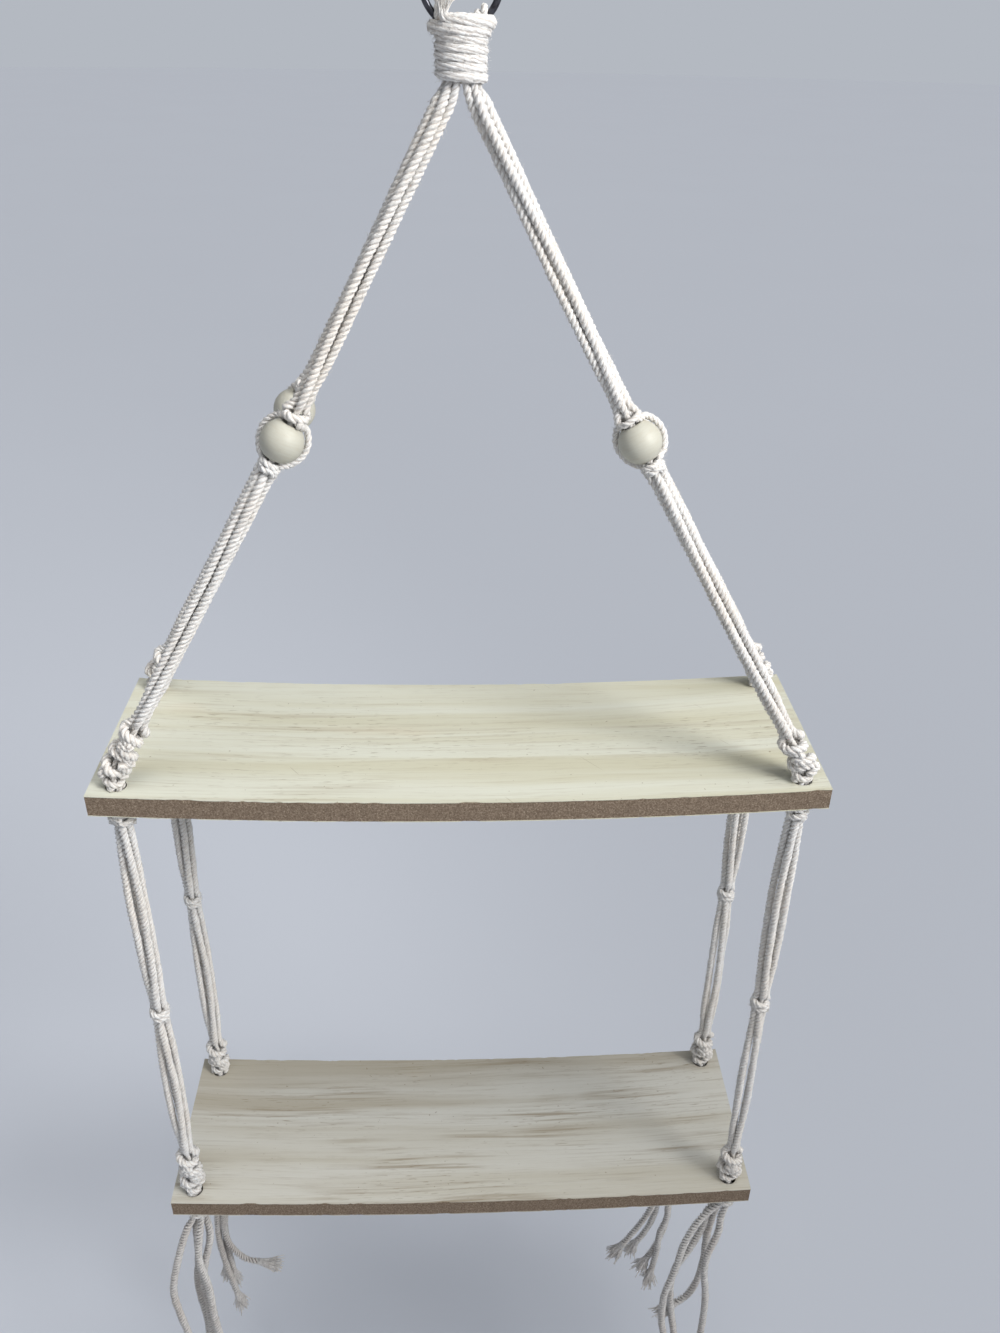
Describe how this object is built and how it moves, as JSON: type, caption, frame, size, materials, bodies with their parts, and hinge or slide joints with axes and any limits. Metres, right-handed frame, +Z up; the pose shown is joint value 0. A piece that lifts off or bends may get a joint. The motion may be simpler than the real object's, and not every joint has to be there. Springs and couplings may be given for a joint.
{
  "type": "hanging rope shelf",
  "caption": "Hanging tiered shelf: sagging boards carried at their corners by knotted cotton cords with wooden beads, gathered under a metal ring.",
  "frame": {"origin": "inside of the ring at its top, where a wall hook bears", "axes": "+Z up, +X along the shelves to the right, front towards -Y"},
  "size_m": [0.4153, 0.122, 1.0272],
  "materials": {
    "cotton": "off-white twisted cotton cord, matt and slightly fuzzy",
    "shelf_board": "pale fine-grained veneer on fibreboard with raw brown edges, satin",
    "bead_wood": "smooth unvarnished pale wood",
    "ring_steel": "dark grey steel, satin"
  },
  "bodies": {
    "ring": {"hanging_ring": "ring_steel"},
    "hanger": {"cord_loop_1": "cotton", "cord_loop_2": "cotton", "cord_loop_3": "cotton", "cord_loop_4": "cotton", "cord_loop_5": "cotton", "cord_loop_6": "cotton", "cord_loop_7": "cotton", "cord_loop_8": "cotton", "gathering_wrap": "cotton", "front_left_upper_knotting_cords": "cotton", "front_left_upper_filler_1": "cotton", "front_left_upper_filler_2": "cotton", "front_right_upper_knotting_cords": "cotton", "front_right_upper_filler_1": "cotton", "front_right_upper_filler_2": "cotton", "back_left_upper_knotting_cords": "cotton", "back_left_upper_filler_1": "cotton", "back_left_upper_filler_2": "cotton", "back_right_upper_knotting_cords": "cotton", "back_right_upper_filler_1": "cotton", "back_right_upper_filler_2": "cotton", "upper_shelf": "shelf_board"},
    "front_left_bead": {"front_left_bead": "bead_wood"},
    "front_right_bead": {"front_right_bead": "bead_wood"},
    "back_left_bead": {"back_left_bead": "bead_wood"},
    "back_right_bead": {"back_right_bead": "bead_wood"},
    "left_lower_ropes": {"front_left_lower_knotting_cords": "cotton", "front_left_lower_filler_1": "cotton", "front_left_lower_filler_2": "cotton", "back_left_lower_knotting_cords": "cotton", "back_left_lower_filler_1": "cotton", "back_left_lower_filler_2": "cotton"},
    "right_lower_ropes": {"front_right_lower_knotting_cords": "cotton", "front_right_lower_filler_1": "cotton", "front_right_lower_filler_2": "cotton", "back_right_lower_knotting_cords": "cotton", "back_right_lower_filler_1": "cotton", "back_right_lower_filler_2": "cotton"},
    "lower_tier": {"lower_shelf": "shelf_board", "front_left_stop_knot": "cotton", "front_right_stop_knot": "cotton", "back_left_stop_knot": "cotton", "back_right_stop_knot": "cotton", "front_left_tassel_strand_1": "cotton", "front_left_tassel_strand_2": "cotton", "front_left_tassel_strand_3": "cotton", "front_left_tassel_strand_4": "cotton", "front_right_tassel_strand_1": "cotton", "front_right_tassel_strand_2": "cotton", "front_right_tassel_strand_3": "cotton", "front_right_tassel_strand_4": "cotton", "back_left_tassel_strand_1": "cotton", "back_left_tassel_strand_2": "cotton", "back_left_tassel_strand_3": "cotton", "back_left_tassel_strand_4": "cotton", "back_right_tassel_strand_1": "cotton", "back_right_tassel_strand_2": "cotton", "back_right_tassel_strand_3": "cotton", "back_right_tassel_strand_4": "cotton"}
  },
  "joints": [
    {"name": "shelf_swing", "type": "hinge", "parent": "ring", "child": "hanger", "pos_m": [0, 0, -0.015], "axis": [0, 1, 0], "range_deg": [-20, 20]},
    {"name": "front_left_bead_spin", "type": "hinge", "parent": "hanger", "child": "front_left_bead", "pos_m": [-0.08596, -0.02469, -0.20397], "axis": [0.4947, 0.1276, 0.8597], "continuous": true},
    {"name": "front_right_bead_spin", "type": "hinge", "parent": "hanger", "child": "front_right_bead", "pos_m": [0.08596, -0.02469, -0.20397], "axis": [-0.4947, 0.1276, 0.8597], "continuous": true},
    {"name": "back_left_bead_spin", "type": "hinge", "parent": "hanger", "child": "back_left_bead", "pos_m": [-0.08596, 0.02469, -0.20397], "axis": [0.4947, -0.1276, 0.8597], "continuous": true},
    {"name": "back_right_bead_spin", "type": "hinge", "parent": "hanger", "child": "back_right_bead", "pos_m": [0.09585, 0.02724, -0.22116], "axis": [-0.4947, -0.1276, 0.8597], "continuous": true},
    {"name": "lower_left_sway", "type": "hinge", "parent": "hanger", "child": "left_lower_ropes", "pos_m": [-0.186, 0, -0.41106], "axis": [0, 1, 0], "range_deg": [-12, 12]},
    {"name": "lower_right_sway", "type": "hinge", "parent": "hanger", "child": "right_lower_ropes", "pos_m": [0.186, 0, -0.41106], "axis": [0, 1, 0], "range_deg": [-12, 12]},
    {"name": "lower_shelf_level", "type": "hinge", "parent": "left_lower_ropes", "child": "lower_tier", "pos_m": [-0.186, 0, -0.73133], "axis": [0, 1, 0], "range_deg": [-12, 12]}
  ],
  "couplings": [
    {"joint": "lower_right_sway", "follows": "lower_left_sway", "ratio": 1},
    {"joint": "lower_shelf_level", "follows": "lower_left_sway", "ratio": -1}
  ]
}
